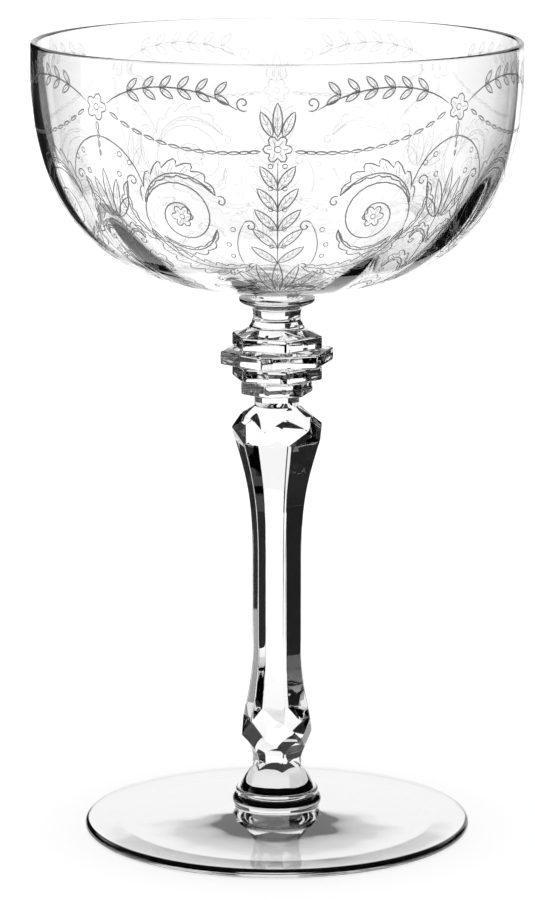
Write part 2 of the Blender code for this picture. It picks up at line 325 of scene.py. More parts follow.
def frame_at(points, i):
    """Unit steps along a drawn line and to its left, at one of its points."""
    ahead, behind = points[min(i + 1, len(points) - 1)], points[max(i - 1, 0)]
    along = (ahead[0] - behind[0], ahead[1] - behind[1])
    length = math.hypot(*along) or 1.0
    along = (along[0] / length, along[1] / length)
    return along, (-along[1], along[0])


def beside(point, along, across, forward, out):
    """A point moved forward along one direction and out along another."""
    return tuple(p + a * forward + c * out for p, a, c in zip(point, along, across))


def corner_angles():
    """Directions round the axis, crowded where the corners of both six-sided outlines fall."""
    half_side = math.degrees(HALF_SIDE)
    steps = CORNER_STEPS + tuple(half_side - step for step in reversed(CORNER_STEPS[1:-1]))
    corners = [half_side * i for i in range(2 * SIDES)]
    return [CORNER_TURN + math.radians(corner + step) for corner in corners for step in steps]


def cut_angles(section):
    """Directions round the axis, crowded at the corners, at the edges of their cuts and amid the sides."""
    edge = HALF_SIDE / 2
    if section.cut < section.corner_radius:
        edge = math.atan((section.corner_radius / section.cut - 1) / math.tan(HALF_SIDE))
        edge = min(max(edge, LEAST_EDGE), HALF_SIDE - LEAST_EDGE)
    rising = [edge * share for share in CUT_SHARES]
    rising += [edge + (HALF_SIDE - edge) * share for share in SIDE_SHARES]
    falling = [2 * HALF_SIDE - angle for angle in reversed(rising[1:-1])]
    corners = [CORNER_TURN + 2 * HALF_SIDE * side for side in range(SIDES)]
    return [corner + angle for corner in corners for angle in rising + falling]


def round_angles(steps):
    return [math.tau * i / steps for i in range(steps)]


def side_radius(angle, corner_radius, turn):
    """Radius of a six-sided outline with softened corners, in one direction."""
    inner = corner_radius * math.cos(HALF_SIDE)
    off_face = abs((angle - turn) % (2 * HALF_SIDE) - HALF_SIDE)
    softness = min(CORNER_SOFTNESS, inner * SOFTEST_SHARE)
    if math.tan(off_face) * inner <= (inner - softness) * math.tan(HALF_SIDE):
        return inner / math.cos(off_face)
    to_centre = (inner - softness) / math.cos(HALF_SIDE)
    off_corner = HALF_SIDE - off_face
    aside = to_centre * math.sin(off_corner)
    return to_centre * math.cos(off_corner) + math.sqrt(softness ** 2 - aside ** 2)


def turned_point(radius, angle, height):
    return (radius * math.cos(angle), radius * math.sin(angle), height)


def turned_rings(profile, angles):
    return [[turned_point(radius, angle, height) for angle in angles] for radius, height in profile]


def section_ring(section, angles):
    """Points of a level section, whose corners are cut flat at the cut's distance from the axis."""
    ring = []
    for angle in angles:
        flat = side_radius(angle, section.corner_radius, section.turn)
        whole = flat + (section.corner_radius - flat) * section.roundness
        off_corner = (angle - section.turn + HALF_SIDE) % (2 * HALF_SIDE) - HALF_SIDE
        radius = min(whole, section.cut / math.cos(off_corner))
        ring.append(turned_point(radius, angle, section.height))
    return ring


def mesh_from(name, form):
    mesh = bpy.data.meshes.new(name)
    form.to_mesh(mesh)
    form.free()
    return mesh


def add_object(name, data):
    added = bpy.data.objects.new(name, data)
    bpy.context.scene.collection.objects.link(added)
    return added


def skin(name, rings, fused):
    """A closed mesh through rings listed from the bottom up. Bands named in fused, counted from the
    bottom with the caps as -1 and len(rings) - 1, get the second material, of a fused joint."""
    form = bmesh.new()
    rows = [[form.verts.new(point) for point in ring] for ring in rings]
    count = len(rows[0])
    loops = [(-1, list(reversed(rows[0]))), (len(rows) - 1, rows[-1])]
    for band, (low, high) in enumerate(zip(rows, rows[1:])):
        for i in range(count):
            j = (i + 1) % count
            loops.append((band, (low[i], low[j], high[j], high[i])))
    for band, loop in loops:
        face = form.faces.new(loop)
        face.material_index = 1 if band in fused else 0
    mesh = mesh_from(name, form)
    mesh.shade_smooth()
    mesh.set_sharp_from_angle(angle=SHARP_ANGLE)
    piece = add_object(name, mesh)
    facets = piece.modifiers.new("flat_facets", "WEIGHTED_NORMAL")
    facets.keep_sharp = True
    return piece


def stand_for(piece, node, materials):
    for material in materials:
        piece.data.materials.append(material)
    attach(piece, "root")
    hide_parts(node)


def principled(name, colour, roughness):
    material = bpy.data.materials.new(name)
    material.use_nodes = True
    shader = material.node_tree.nodes["Principled BSDF"]
    shader.inputs["Base Color"].default_value = (*colour, 1.0)
    shader.inputs["Roughness"].default_value = roughness
    return material, shader


def noise(tree, size, detail):
    """A noise pattern whose bumps are about one size apart, the same on every piece that it runs over."""
    place = tree.nodes.new("ShaderNodeTexCoord")
    pattern = tree.nodes.new("ShaderNodeTexNoise")
    pattern.inputs["Scale"].default_value = 1.0 / size
    pattern.inputs["Detail"].default_value = detail
    tree.links.new(place.outputs["Object"], pattern.inputs["Vector"])
    return pattern.outputs["Fac"]


def add_bump(tree, shader, height, depth):
    """Bumps on a surface, as deep as given where the height is 1."""
    bump = tree.nodes.new("ShaderNodeBump")
    bump.inputs["Distance"].default_value = depth
    tree.links.new(height, bump.inputs["Height"])
    tree.links.new(bump.outputs["Normal"], shader.inputs["Normal"])


def between(tree, value, low, high, start=0.0, end=1.0):
    """A value that runs from low to high while the given one runs from start to end."""
    span = tree.nodes.new("ShaderNodeMapRange")
    span.inputs["From Min"].default_value = start
    span.inputs["From Max"].default_value = end
    span.inputs["To Min"].default_value = low
    span.inputs["To Max"].default_value = high
    tree.links.new(value, span.inputs["Value"])
    return span.outputs["Result"]


def calculate(tree, operation, *values):
    """The result of a math node, whose values are plain numbers or outputs of other nodes."""
    node = tree.nodes.new("ShaderNodeMath")
    node.operation = operation
    for slot, value in zip(node.inputs, values):
        if isinstance(value, float):
            slot.default_value = value
        else:
            tree.links.new(value, slot)
    return node.outputs[0]


def glass(name, wave_size, wave_depth):
    """Clear crystal: slight waves left by the mould and the fire, and a faint bloom of wear."""
    material, shader = principled(name, WHITE, 0.0)
    tree = material.node_tree
    shader.inputs["Transmission Weight"].default_value = 1.0
    shader.inputs["IOR"].default_value = GLASS_IOR
    add_bump(tree, shader, noise(tree, wave_size, WAVE_DETAIL), wave_depth)
    wear = between(tree, noise(tree, WEAR_SIZE, WEAR_DETAIL), 0.0, WEAR_ROUGHNESS)
    tree.links.new(wear, shader.inputs["Roughness"])
    return material


def smooth_glass(name):
    return glass(name, WIDE_WAVE_SIZE, WIDE_WAVE_DEPTH)


def pressed_glass(name):
    return glass(name, CLOSE_WAVE_SIZE, CLOSE_WAVE_DEPTH)


def fused_joint():
    """Glass melted to glass shows no surface between the two pieces."""
    material = bpy.data.materials.new("fused_joint")
    material.use_nodes = True
    shader = material.node_tree.nodes["Principled BSDF"]
    shader.inputs["Alpha"].default_value = 0.0
    return material


def frosting_and_painted_shade(name, alpha):
    """Etched glass: grainy and matt, grey from its own side with the grey a painted shade, and faint from
    behind.
    """
    material, shader = principled(name, FROST_PAINTED_SHADE_GREY, FROST_ROUGHNESS[0])
    tree = material.node_tree
    grain = noise(tree, FROST_GRAIN, FROST_GRAIN_DETAIL)
    add_bump(tree, shader, grain, FROST_GRAIN_DEPTH)
    tree.links.new(between(tree, grain, *FROST_ROUGHNESS), shader.inputs["Roughness"])
    side = tree.nodes.new("ShaderNodeNewGeometry")
    cover = between(tree, side.outputs["Backfacing"], alpha, FROST_BACK_ALPHA)
    tree.links.new(cover, shader.inputs["Alpha"])
    return material


def foot_profile(top):
    """Half outline of the foot from the bottom up: hollow, ring, edge, flank, boss and joint."""
    boss_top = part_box("foot")[1].z
    half_edge = FOOT_EDGE / 2
    half_boss = (boss_top - FOOT_RISE) / 2
    edge_middle = (FOOT_RADIUS - half_edge, half_edge)
    boss_middle = (BOSS_RADIUS - half_boss, FOOT_RISE + half_boss)
    ring_inside = edge_middle[0] - FOOT_RING_WIDTH
    hollow = bezier(((AXIS_HOLE, FOOT_HOLLOW), (ring_inside * HOLLOW_FULLNESS, FOOT_HOLLOW),
                     (ring_inside, 0.0)), HOLLOW_STEPS)
    edge = arc(edge_middle, half_edge, -90, 90, FOOT_EDGE_STEPS)
    flank = bezier(((edge_middle[0], FOOT_EDGE), (FOOT_RADIUS - FOOT_RING_WIDTH, FOOT_EDGE),
                    (BOSS_ROOT_RADIUS + FOOT_RISE, FOOT_RISE - half_edge / 2),
                    (BOSS_ROOT_RADIUS, FOOT_RISE)), FLANK_STEPS)[1:]
    boss = arc(boss_middle, half_boss, -BOSS_UNDERCUT, 90, BOSS_STEPS)
    joint = [(BOSS_JOINT_RADIUS, boss_top), (BOSS_JOINT_RADIUS, top)]
    return hollow + edge + flank + boss + joint


def make_foot(materials):
    profile = foot_profile(joint_level("foot", "foot_collar"))
    rings = turned_rings(profile, round_angles(FOOT_TURNS))
    piece = skin("foot_disc", rings, {len(rings) - 1})
    stand_for(piece, "foot", materials)


def dome_curve():
    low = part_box("foot_collar")[0].z + FLANGE_THICKNESS
    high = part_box("foot_collar")[1].z
    middle = ((DOME_RADIUS + DOME_CROWN_RADIUS) / 2 + DOME_FULLNESS * 2, (low + high) / 2 + DOME_FULLNESS)
    return bezier(((DOME_RADIUS, low), middle, (DOME_CROWN_RADIUS, high)), DOME_STEPS)


def dome_height(radius, curve):
    """Height of the dome's surface at a radius, by straight lines between the curve's points."""
    for (r0, z0), (r1, z1) in zip(curve, curve[1:]):
        if r1 <= radius <= r0:
            return z0 + (z1 - z0) * (r0 - radius) / (r0 - r1)
    return curve[-1][1]


def dome_ring(share, curve, angles):
    """Points on the dome, from its lower edge at share 0 to the stem's scalloped seam at share 1."""
    ring = []
    for angle in angles:
        seam = side_radius(angle, STEM_BASE_RADIUS, CORNER_TURN)
        radius = DOME_RADIUS + (seam - DOME_RADIUS) * share
        ring.append(turned_point(radius, angle, dome_height(radius, curve)))
    return ring


def make_foot_collar(materials):
    """Flange and dome, whose crown inside the stem's seam is fused to the stem."""
    angles = corner_angles()
    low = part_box("foot_collar")[0].z
    half_flange = FLANGE_THICKNESS / 2
    flange_middle = (FLANGE_RADIUS - half_flange, low + half_flange)
    profile = [(BOSS_JOINT_RADIUS, joint_level("foot", "foot_collar")), (BOSS_JOINT_RADIUS, low)]
    profile += arc(flange_middle, half_flange, -90, 90, FLANGE_STEPS)
    curve = dome_curve()
    rings = turned_rings(profile, angles)
    rings += [dome_ring(i / DOME_RINGS, curve, angles) for i in range(DOME_RINGS + 1)]
    piece = skin("foot_collar_dome", rings, {-1, len(rings) - 1})
    stand_for(piece, "foot_collar", materials)


def stem_levels():
    """Heights at which the stem changes shape, from its lower pinch up to its neck."""
    heights = [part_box("foot_collar")[1].z - STEM_SEAT_DEPTH + STEM_BASE_LENGTH]
    runs = (LOWER_BULGE_RISE, LOWER_CUT_HEIGHT, LOWER_TAPER, SHANK_LENGTH, UPPER_TAPER, UPPER_CUT_HEIGHT)
    for run in runs:
        heights.append(heights[-1] + run)
    return StemLevels(*heights, neck=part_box("stem")[1].z - STEM_NECK_LENGTH)


def stem_outline(levels):
    """Heights of the stem below its shoulder, each with the radius of the corners before they are cut."""
    low_tip, high_tip = levels.low_tip, levels.high_tip
    low_corner = (levels.low_wide, LOWER_BULGE_RADIUS / math.cos(HALF_SIDE))
    high_corner = (levels.high_wide, UPPER_BULGE_RADIUS / math.cos(HALF_SIDE))
    outline = bezier(((levels.pinch, STEM_BASE_RADIUS),
                      ((levels.pinch + levels.low_wide) / 2, STEM_BASE_RADIUS),
                      low_corner), PINCH_STEPS)
    outline += bezier((low_corner, (low_tip, LOWER_CUT_RADIUS)), LOZENGE_STEPS)[1:]
    outline += bezier(((low_tip, LOWER_CUT_RADIUS),
                       (low_tip + LOWER_TAPER / 3, LOWER_TAPER_FULLNESS),
                       (low_tip + LOWER_TAPER / 2, SHANK_RADIUS),
                       (levels.shank, SHANK_RADIUS)), LOWER_TAPER_STEPS)[1:]
    outline += bezier(((levels.taper, SHANK_RADIUS),
                       (levels.taper + UPPER_TAPER / 2, SHANK_RADIUS),
                       (high_tip - UPPER_TAPER / 3, UPPER_TAPER_FULLNESS),
                       (high_tip, UPPER_CUT_RADIUS)), UPPER_TAPER_STEPS)
    return outline + bezier(((high_tip, UPPER_CUT_RADIUS), high_corner), LOZENGE_STEPS)[1:]


def stem_cut(height, levels):
    """Distance from the axis of the lozenges that cut the stem's corners at a height."""
    if levels.pinch <= height <= levels.low_tip:
        tip, wide = levels.low_tip, levels.low_wide
        tip_radius, wide_radius = LOWER_CUT_RADIUS, LOWER_BULGE_RADIUS
    elif height >= levels.high_tip:
        tip, wide = levels.high_tip, levels.high_wide
        tip_radius, wide_radius = UPPER_CUT_RADIUS, UPPER_BULGE_RADIUS
    else:
        return UNCUT
    return tip_radius + (wide_radius * math.cos(HALF_SIDE) - tip_radius) * (height - tip) / (wide - tip)


def round_section(height, radius):
    return Section(height, radius, CORNER_TURN, 1.0, UNCUT)


def stem_sections():
    """Sections of the stem above its seam: lower bulge, shank, upper bulge, shoulder and round neck."""
    levels = stem_levels()
    sections = [Section(height, radius, CORNER_TURN, 0.0, stem_cut(height, levels))
                for height, radius in stem_outline(levels)]
    high_corner = sections[-1].corner_radius
    for i in range(1, SHOULDER_STEPS + 1):
        share = i / SHOULDER_STEPS
        height = levels.high_wide + (levels.neck - levels.high_wide) * share
        radius = high_corner + (NECK_RADIUS - high_corner) * share
        sections.append(Section(height, radius, CORNER_TURN, share * share, stem_cut(height, levels)))
    return sections + [round_section(joint_level("stem", "knop"), NECK_RADIUS)]


def make_stem(materials):
    rings = [dome_ring(1.0, dome_curve(), corner_angles())]
    rings += [section_ring(section, cut_angles(section)) for section in stem_sections()]
    piece = skin("stem_baluster", rings, {-1, len(rings) - 1})
    stand_for(piece, "stem", materials)


def tier_sections(radius, turn, low):
    """Sections of one six-sided tier, whose lower and upper edges are softened."""
    high = low + TIER_HEIGHT
    edge = arc((radius - TIER_EDGE, low + TIER_EDGE), TIER_EDGE, -90, 0, TIER_EDGE_STEPS)
    edge += arc((radius - TIER_EDGE, high - TIER_EDGE), TIER_EDGE, 0, 90, TIER_EDGE_STEPS)
    return [Section(z, r, turn, 0.0, UNCUT) for r, z in edge]


def knop_sections():
    """Sections of the knop: round neck, tiers turned half a side each, and a slope to the bowl's collar."""
    tiers_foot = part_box("knop")[0].z + KNOP_NECK_LENGTH
    sections = [round_section(joint_level("stem", "knop"), NECK_RADIUS),
                round_section(tiers_foot, NECK_RADIUS)]
    for i, radius in enumerate(TIER_RADII):
        turn = CORNER_TURN + HALF_SIDE * ((i + 1) % 2)
        sections += tier_sections(radius, turn, tiers_foot + TIER_STEP + i * (TIER_HEIGHT + TIER_STEP))
    sections.append(round_section(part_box("knop")[1].z, POST_FOOT_RADIUS))
    sections.append(round_section(joint_level("knop", "bowl_collar"), POST_FOOT_RADIUS))
    return sections


def make_knop(materials):
    angles = corner_angles()
    rings = [section_ring(section, angles) for section in knop_sections()]
    piece = skin("knop_tiers", rings, {-1, len(rings) - 1})
    stand_for(piece, "knop", materials)


def make_bowl_collar(materials):
    """A waisted post that flares into a wafer, with a low pad on it that is fused to the bowl."""
    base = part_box("bowl_collar")[0].z
    post_top = base + POST_HEIGHT
    wafer_edge = post_top + WAFER_DROP
    middle = (post_top + wafer_edge) / 2
    pull = 2 * POST_WAIST_RADIUS - (POST_FOOT_RADIUS + POST_TOP_RADIUS) / 2
    profile = [(POST_FOOT_RADIUS, joint_level("knop", "bowl_collar"))]
    profile += bezier(((POST_FOOT_RADIUS, base), (pull, (base + post_top) / 2),
                       (POST_TOP_RADIUS, post_top)), COLLAR_STEPS)
    profile += bezier(((POST_TOP_RADIUS, post_top), (POST_TOP_RADIUS, middle), (WAFER_RADIUS, middle),
                       (WAFER_RADIUS, wafer_edge)), COLLAR_STEPS)[1:]
    profile += [(WAFER_RADIUS, wafer_edge + WAFER_EDGE),
                (PAD_RADIUS + WAFER_EDGE, wafer_edge + WAFER_EDGE * 2),
                (PAD_RADIUS, wafer_edge + WAFER_EDGE * 3),
                (PAD_RADIUS, joint_level("bowl_collar", "bowl"))]
    rings = turned_rings(profile, round_angles(COLLAR_TURNS))
    piece = skin("bowl_collar_wafer", rings, {-1, len(rings) - 1})
    stand_for(piece, "bowl_collar", materials)


def bowl_curve(steps):
    base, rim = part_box("bowl")[0].z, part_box("bowl")[1].z
    return bezier(((0.0, base), (BOWL_BASE_REACH, base), (BOWL_BELLY_RADIUS, base + BOWL_BELLY_HEIGHT),
                   (RIM_RADIUS, rim - RIM_WALL / 2)), steps)


def wall_inside(outside):
    """Inside of the bowl's wall, which thins towards the rim."""
    inside = []
    last = len(outside) - 1
    for i, point in enumerate(outside):
        along, across = frame_at(outside, i)
        wall = BASE_WALL + (RIM_WALL - BASE_WALL) * i / last
        radius, height = beside(point, along, across, 0.0, wall)
        inside.append((max(0.0, radius), height))
    return inside


def optic_share(t):
    """How strong the flutes are along the wall, from the base at 0 to the rim at 1."""
    return math.exp(-((t - OPTIC_LOW) / OPTIC_SPREAD) ** 2) * min(1.0, OPTIC_FADE * t * (1.0 - t))


def fluted_ring(radius, height, depth, angles):
    """Points round the inside of the bowl, where the ribs between the flutes stand in by a depth."""
    ring = []
    for angle in angles:
        rib = 0.5 + 0.5 * math.cos(OPTIC_PANELS * (angle - OPTIC_TURN))
        ring.append(turned_point(radius - depth * rib, angle, height))
    return ring


def make_bowl(materials):
    angles = round_angles(BOWL_TURNS)
    outside = bowl_curve(BOWL_STEPS)
    inside = wall_inside(outside)
    rim_middle = ((outside[-1][0] + inside[-1][0]) / 2, outside[-1][1])
    profile = [(PAD_RADIUS, joint_level("bowl_collar", "bowl")), (PAD_RADIUS, outside[0][1])]
    profile += [point for point in outside if point[0] > WALL_START][:-1]
    profile += arc(rim_middle, RIM_WALL / 2, 0, 180, RIM_STEPS)
    rings = turned_rings(profile, angles)
    for i in range(BOWL_STEPS - 1, 0, -1):
        rings.append(fluted_ring(*inside[i], optic_share(i / BOWL_STEPS) * OPTIC_DEPTH, angles))
    piece = skin("bowl_shell", rings, {-1})
    stand_for(piece, "bowl", materials)


def polar(centre, reach, angle):
    return (centre[0] + reach * math.cos(angle), centre[1] + reach * math.sin(angle))


def volute(centre, radius, start, sweep):
    """A spiral that winds in from its outer radius to a small eye."""
    step = SMALL_VOLUTE_STEP if radius < SMALL_VOLUTE else LARGE_VOLUTE_STEP
    steps = max(LEAST_STEPS, int(abs(sweep) / step))
    points = []
    for i in range(steps + 1):
        share = i / steps
        reach = radius * (1 - VOLUTE_FALL * share ** VOLUTE_EASE)
        points.append(polar(centre, reach, math.radians(start + sweep * share)))
    return [(points, MAIN)]


def circle(centre, radius):
    return [([polar(centre, radius, math.tau * i / BEAD_STEPS) for i in range(BEAD_STEPS + 1)], FINE)]


def tendril(control, steps, width):
    return [(bezier(control, steps), width)]


def leaf(root, tip, width, veins):
    """A pointed leaf: two edges, a midrib and slanting veins."""
    along = (tip[0] - root[0], tip[1] - root[1])
    length = math.hypot(*along)
    across = (-along[1] * width / length, along[0] * width / length)

    def spot(share, offset):
        return beside(root, along, across, share, offset)

    strokes = []
    for side in (-1, 1):
        pulls = [spot(share, offset * side) for share, offset in (LEAF_LOW_PULL, LEAF_HIGH_PULL)]
        strokes += tendril((root, *pulls, tip), LEAF_STEPS, MAIN)
        for i in range(veins):
            share = VEINS_START + VEINS_RUN * i / veins
            strokes.append(([spot(share, VEIN_ROOT * side), spot(share + VEIN_LEAN, VEIN_TIP * side)], FINE))
    if veins:
        strokes.append(([root, spot(MIDRIB, 0.0)], FINE))
    return strokes


def frond_side(spine, size, lobes):
    """One lobed edge of a frond, swept towards the tip, and the veins into its lobes."""
    edge = []
    strokes = []
    for i, point in enumerate(spine):
        share = i / (len(spine) - 1)
        along, across = frame_at(spine, i)
        reach = size * math.sin(math.pi * (FROND_START + (1 - FROND_START) * share)) ** FROND_FULLNESS
        swell = abs(math.sin(math.pi * share * lobes))
        out = reach * (1 - LOBE_DEPTH + LOBE_DEPTH * swell)
        edge.append(beside(point, along, across, abs(reach) * LOBE_SWEEP * swell, out))
        tip = LOBE_VEIN_TIPS.get(i % LOBE_STEPS)
        if tip:
            vein = [beside(point, along, across, abs(reach) * f * LOBE_VEIN_SLANT, reach * f)
                    for f in (LOBE_VEIN_ROOT, tip)]
            strokes.append((vein, FINE))
    return strokes + [(edge, MAIN)]


def frond(control, left, right, lobes):
    """A curling leaf: its spine, and a lobed edge of a given width on either side."""
    spine = bezier(control, lobes * LOBE_STEPS)
    return [(spine[::2], MAIN)] + frond_side(spine, left, lobes) + frond_side(spine, -right, lobes)


def rosette(centre, radius, petals):
    """A small flower: its outline, its eye and a vein in each petal."""
    steps = petals * PETAL_STEPS
    edge = []
    for i in range(steps + 1):
        angle = math.tau * i / steps
        dip = 1 - PETAL_DIP + PETAL_DIP * abs(math.cos(petals * angle / 2))
        edge.append(polar(centre, radius * dip, angle))
    strokes = [(edge, MAIN)] + circle(centre, radius * ROSETTE_EYE)
    for i in range(petals):
        strokes.append(([polar(centre, radius * f, math.tau * i / petals) for f in PETAL_VEIN], FINE))
    return strokes


def husks(control, count, length, width, shrink=0.0):
    """A chain of small pointed husks strung along a curve."""
    path = bezier(control, count)
    strokes = []
    for i, (root, end) in enumerate(zip(path, path[1:])):
        size = 1 - shrink * i / count
        along, across = frame_at((root, end), 0)
        tip = beside(root, along, across, length * size, 0.0)
        for side, line in ((-1, FINE), (1, MAIN)):
            middle = beside(root, along, across, length * size / 2, width * size ** 2 * side / 2)
            strokes += tendril((root, middle, tip), HUSK_STEPS, line)
    return strokes


def palmette():
    """A fan of lobes at the foot of the bowl, half of it, right of the axis."""
    strokes = leaf((0.0, PALMETTE_ROOT), (0.0, 38.0), 2.9, 5)
    for x, y, width in ((5.0, 37.2, 2.8), (10.0, 35.0, 2.7), (14.5, 31.8, 2.6), (18.0, 27.8, 2.5)):
        strokes += leaf((x * 0.14, PALMETTE_ROOT), (x, y), width, 5)
        strokes += volute((x + 1.0, y - 0.8), 1.0, 130, -360)
    return strokes


def sprig():
    """A laurel sprig on the axis, half of it, between the palmette and a rosette."""
    strokes = [([(0.0, 37.0), (0.0, 48.0), (0.0, 59.5)], MAIN)]
    for i in range(5):
        y = 37.5 + 4.2 * i
        strokes += leaf((0.0, y), (5.6 - 0.6 * i, y + 4.6), 1.9, 3)
        strokes += circle((1.3, y + 4.6), 0.45)
    for x, y in ((0.0, 70.4), (3.0, 68.8)):
        strokes += leaf((x * 0.3, 64.2), (x, y), 1.7, 2)
    return strokes


def scroll():
    """The wide scroll beside the axis: a leafy stem, its volute with a flower, and its branches."""
    strokes = frond(((6.0, 36.5), (13.0, 34.0), (23.0, 35.5), (27.0, 45.5)), 1.9, 3.0, 8)
    strokes += volute((19.0, 48.5), 8.3, -20, 610)
    strokes += rosette((19.0, 48.5), 2.3, 6)
    strokes += frond(((26.6, 51.0), (24.5, 58.0), (16.5, 59.5), (11.6, 53.0)), 0.8, 2.6, 7)
    strokes += volute((10.7, 51.9), 1.2, 60, 380)
    strokes += frond(((24.6, 43.7), (19.5, 38.5), (13.5, 40.5), (12.2, 46.0)), 1.5, 0.8, 5)
    strokes += frond(((25.8, 43.0), (30.0, 45.0), (32.0, 50.0), (29.6, 55.0)), 0.9, 1.9, 5)
    strokes += volute((28.4, 55.1), 1.3, 0, 400)
    strokes += tendril(((26.0, 53.5), (27.0, 59.5), (31.0, 62.5), (HALF, 63.0)), 9, MAIN)
    strokes += tendril(((7.6, 37.2), (9.0, 40.5), (8.6, 44.5), (6.6, 47.5)), 8, FINE)
    strokes += volute((5.4, 46.9), 1.4, 25, 420)
    beads = ((9.8, 39.5), (10.2, 42.5), (8.9, 46.1), (28.5, 58.5), (30.6, 59.9), (31.4, 56.1), (22.6, 39.1))
    for bead in beads:
        strokes += circle(bead, 0.5)
    return strokes


def candelabrum():
    """Three tiers of curling leaves between two scrolls, half of them, right of their own axis."""
    strokes = [([(0.0, 18.0), (0.0, 36.0), (0.0, 54.0)], MAIN)]
    for y, reach in ((22.0, 9.5), (32.0, 7.8), (41.0, 5.4)):
        control = ((0.2, y), (reach * 0.35, y + reach * 0.8), (reach * 0.95, y + reach * 0.95),
                   (reach, y + reach * 0.3))
        strokes += frond(control, reach * 0.26, reach * 0.14, 5)
        strokes += volute((reach - 0.9, y + reach * 0.22), 0.9, 10, -400)
        strokes += circle((1.1, y + 0.2), 0.45)
    for x, y in ((0.0, 57.0), (2.9, 55.1), (5.0, 51.7)):
        strokes += leaf((x * 0.2, 47.1), (x, y), 1.7, 2)
    return strokes


def swag():
    """Husks hung between the rosettes under the rim, with a leafy spray over them, half of it."""
    strokes = husks(((3.0, 61.6), (10.0, 60.8), (22.0, 60.6), (32.6, 67.8)), 13, 2.35, 1.1)
    strokes += tendril(((32.8, 69.0), (26.0, 74.0), (14.0, 73.8), (7.0, 69.0)), 12, MAIN)
    strokes += volute((6.0, 70.2), 1.5, 240, 420)
    leaves = 6
    for i in range(leaves):
        x = 28.0 - 3.4 * i
        y = 71.8 + 1.1 * math.sin(math.pi * (i + 0.5) / leaves)
        strokes += leaf((x, y - 0.4), (x - 2.2, y + 1.9), 1.1, 1)
        strokes += leaf((x, y - 0.4), (x - 2.6, y - 2.2), 1.1, 1)
    return strokes


def mirrored(strokes):
    return strokes + [([(-x, y) for x, y in points], width) for points, width in strokes]


def cell():
    """All the lines of one repeat: the motifs on its axis and those half a repeat to the right."""
    strokes = mirrored(palmette() + sprig() + scroll() + swag())
    strokes += [([(x + HALF, y) for x, y in points], width) for points, width in mirrored(candelabrum())]
    strokes += rosette((0.0, 62.0), 2.6, 6) + rosette((HALF, 68.2), 2.5, 5)
    return strokes + husks(((HALF, 65.6), (HALF, 63.4), (HALF, 61.0), (HALF, 58.6)), 4, 1.8, 1.3, 0.4)


def wall_places():
    """Points up the outside of the bowl's wall, each with its distance from the middle of the base."""
    curve = bowl_curve(WALL_STEPS)
    places = [(0.0, *curve[0])]
    for behind, here in zip(curve, curve[1:]):
        places.append((places[-1][0] + math.dist(behind, here), *here))
    return places


def wall_point(places, angle, reach):
    """A point on the outside of the bowl and the direction that the wall faces there."""
    for (s0, x0, z0), (s1, x1, z1) in zip(places, places[1:]):
        if reach <= s1:
            break
    share = (reach - s0) / (s1 - s0)
    radius = x0 + (x1 - x0) * share
    around = Vector((math.cos(angle), math.sin(angle), 0.0))
    facing = (around * (z1 - z0) - Vector((0.0, 0.0, x1 - x0))).normalized()
    return around * radius + Vector((0.0, 0.0, z0 + (z1 - z0) * share)), facing


def add_ribbon(form, line, width):
    """A low closed ridge along a drawn line, thinner at its ends, with the second material underneath."""
    last = len(line) - 1
    rows = []
    for i, (spot, facing) in enumerate(line):
        along = line[min(i + 1, last)][0] - line[max(i - 1, 0)][0]
        across = facing.cross(along).normalized()
        taper = 1.0 if 0 < i < last else LINE_END
        half = across * width * taper / 2
        foot = spot - facing * LINE_SINK
        rows.append([form.verts.new(p) for p in (foot - half, foot + half, spot + facing * LINE_RISE)])
    for low, high in zip(rows, rows[1:]):
        for i in range(3):
            j = (i + 1) % 3
            face = form.faces.new((low[i], low[j], high[j], high[i]))
            face.material_index = 1 if i == 0 else 0
    form.faces.new(list(reversed(rows[0])))
    form.faces.new(rows[-1])


def make_ornament():
    """The frosted ornament, repeated round the bowl."""
    places = wall_places()
    form = bmesh.new()
    strokes = cell()
    for repeat in range(REPEATS):
        axis = FIRST_AXIS + math.tau * repeat / REPEATS
        for points, width in strokes:
            line = [wall_point(places, axis + x / FLAT_RADIUS, y * MM) for x, y in points]
            add_ribbon(form, line, width * MM)
    piece = add_object("etched_ornament", mesh_from("etched_ornament", form))
    # The etched lines are real; their grey is painted shade
    piece.data.materials.append(frosting_and_painted_shade("frosting_and_painted_shade", FROST_ALPHA))
    piece.data.materials.append(frosting_and_painted_shade("frosting_back_and_painted_shade", FROST_BACK_ALPHA))
    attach(piece, "root")


def make_floor():
    """A pale floor that keeps the glass's shadow and reads as white to the camera and through the glass."""
    bpy.ops.mesh.primitive_plane_add(size=FLOOR_SIZE, location=(0.0, 0.0, -FLOOR_GAP))
    floor = bpy.context.object
    floor.name = "floor"
    material, shader = principled("floor", FLOOR_COLOUR, 1.0)
    shader.inputs["Specular IOR Level"].default_value = 0.0
    shader.inputs["Emission Color"].default_value = (*WHITE, 1.0)
    tree = material.node_tree
    path = tree.nodes.new("ShaderNodeLightPath").outputs
    in_glass = calculate(tree, "MAXIMUM", path["Is Glossy Ray"], path["Is Transmission Ray"])
    seen = calculate(tree, "MAXIMUM", path["Is Camera Ray"], in_glass)
    place = tree.nodes.new("ShaderNodeTexCoord")
    distance = tree.nodes.new("ShaderNodeVectorMath")
    distance.operation = "LENGTH"
    tree.links.new(place.outputs["Object"], distance.inputs[0])
    level = between(tree, distance.outputs["Value"], FLOOR_FILL, 1.0, FILL_NEAR, FILL_FAR)
    tree.links.new(calculate(tree, "MULTIPLY", seen, level), shader.inputs["Emission Strength"])
    floor.data.materials.append(material)


